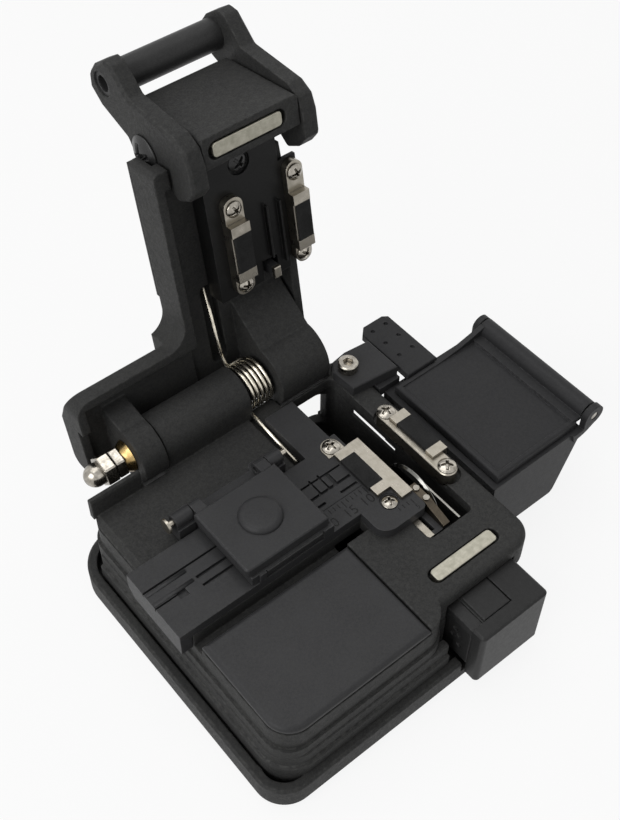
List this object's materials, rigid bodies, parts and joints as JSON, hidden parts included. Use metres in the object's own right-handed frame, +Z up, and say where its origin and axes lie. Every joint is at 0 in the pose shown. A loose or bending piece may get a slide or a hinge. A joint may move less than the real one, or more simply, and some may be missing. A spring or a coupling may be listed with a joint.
{
  "type": "optical fibre cleaver",
  "caption": "Bench-top fibre cleaver with hinged spring lid, latch yoke, sliding blade carriage, clamp pads, fibre holder and scrap bin, shown open.",
  "frame": {"origin": "centre of the base on the table plane; the slab's flat underside lies 0.6 mm above it on the feet", "axes": "+X along the fibre to the scrap bin, +Y back to the lid hinge, +Z up; the lid is stored open, as it stands"},
  "size_m": [0.0927, 0.1011, 0.0829],
  "materials": {
    "casting_black": "fine textured black paint",
    "deck_black": "satin black anodising",
    "bar_black": "satin",
    "bin_black": "fine matt",
    "slider_black": "satin",
    "rubber_black": "matt",
    "nickel": "satin nickel",
    "screw_steel": "polished",
    "black_screw": "semi-gloss black oxide",
    "magnet_steel": "dull",
    "machined_steel": "ground",
    "spring_steel": "drawn wire",
    "blade_steel": "ground, dark",
    "brass": "polished"
  },
  "bodies": {
    "base": {"base_plate": "casting_black", "rubber_feet": "rubber_black", "base_screws": "screw_steel", "main_body": "casting_black", "front_panel": "casting_black", "guide_deck": "deck_black", "base_magnet": "magnet_steel", "lower_left_frame": "nickel", "lower_left_rubber": "rubber_black", "lower_right_frame": "nickel", "lower_right_tabs": "nickel", "lower_right_rubber": "rubber_black", "lower_pad_screws": "screw_steel", "slide_rail": "machined_steel", "hinge_shaft": "machined_steel", "brass_washer": "brass", "lock_nut": "screw_steel", "acorn_nut": "screw_steel", "torsion_spring": "spring_steel", "bin_bracket": "deck_black", "bracket_screw": "screw_steel"},
    "lid": {"lid_arm": "casting_black", "lid_back_cover": "casting_black", "lid_inner_plate": "deck_black", "inner_plate_screw": "black_screw", "head_block": "casting_black", "lid_magnet": "magnet_steel", "upper_left_frame": "nickel", "upper_left_rubber": "rubber_black", "upper_right_frame": "nickel", "upper_right_rubber": "rubber_black", "upper_pad_screws": "screw_steel", "anvil_arm": "deck_black", "anvil_tip": "nickel"},
    "handle": {"yoke_left": "casting_black", "yoke_right": "casting_black", "handle_bar": "bar_black", "yoke_screws": "black_screw"},
    "carriage": {"blade_carriage": "machined_steel", "blade_arm": "deck_black", "blade_arm_screws": "black_screw", "carriage_plate": "nickel", "carriage_edge": "nickel", "slider_block": "slider_black", "slider_cover": "slider_black", "slider_top_pad": "slider_black", "blade_screw": "machined_steel"},
    "blade": {"blade_disc": "blade_steel"},
    "holder": {"holder_base": "deck_black", "holder_pins": "screw_steel", "holder_strip": "nickel"},
    "holder_lid": {"holder_lid": "deck_black", "holder_button": "deck_black"},
    "bin": {"scrap_bin": "bin_black", "bin_pin": "machined_steel"},
    "bin_lid": {"bin_lid": "bin_black", "bin_lid_tab": "bin_black"}
  },
  "joints": [
    {"name": "lid_hinge", "type": "hinge", "parent": "base", "child": "lid", "pos_m": [0, 0.0314, 0.0241], "axis": [1, 0, 0], "range_deg": [0, 99.4], "stiffness_Nm_per_rad": 0.012, "springref_deg": -34.38, "deforming": ["torsion_spring"]},
    {"name": "handle_pivot", "type": "hinge", "parent": "lid", "child": "handle", "pos_m": [0.01925, 0.05011, 0.07037], "axis": [1, 0, 0], "range_deg": [-12, 3]},
    {"name": "blade_slide", "type": "slide", "parent": "base", "child": "carriage", "axis": [0, 1, 0], "range_m": [0, 0.01]},
    {"name": "blade_turn", "type": "hinge", "parent": "carriage", "child": "blade", "pos_m": [0.0218, -0.0045, 0.0164], "axis": [1, 0, 0], "continuous": true},
    {"name": "holder_slide", "type": "slide", "parent": "base", "child": "holder", "axis": [1, 0, 0], "range_m": [-0.006, 0]},
    {"name": "holder_lid_hinge", "type": "hinge", "parent": "holder", "child": "holder_lid", "pos_m": [-0.007, 0.0134, 0.0255], "axis": [1, 0, 0], "range_deg": [-90, 0]},
    {"name": "bin_slide", "type": "slide", "parent": "base", "child": "bin", "axis": [1, 0, 0], "range_m": [0, 0.012]},
    {"name": "bin_lid_hinge", "type": "hinge", "parent": "bin", "child": "bin_lid", "pos_m": [0.0588, 0.001, 0.0214], "axis": [0, 1, 0], "range_deg": [0, 100]}
  ]
}
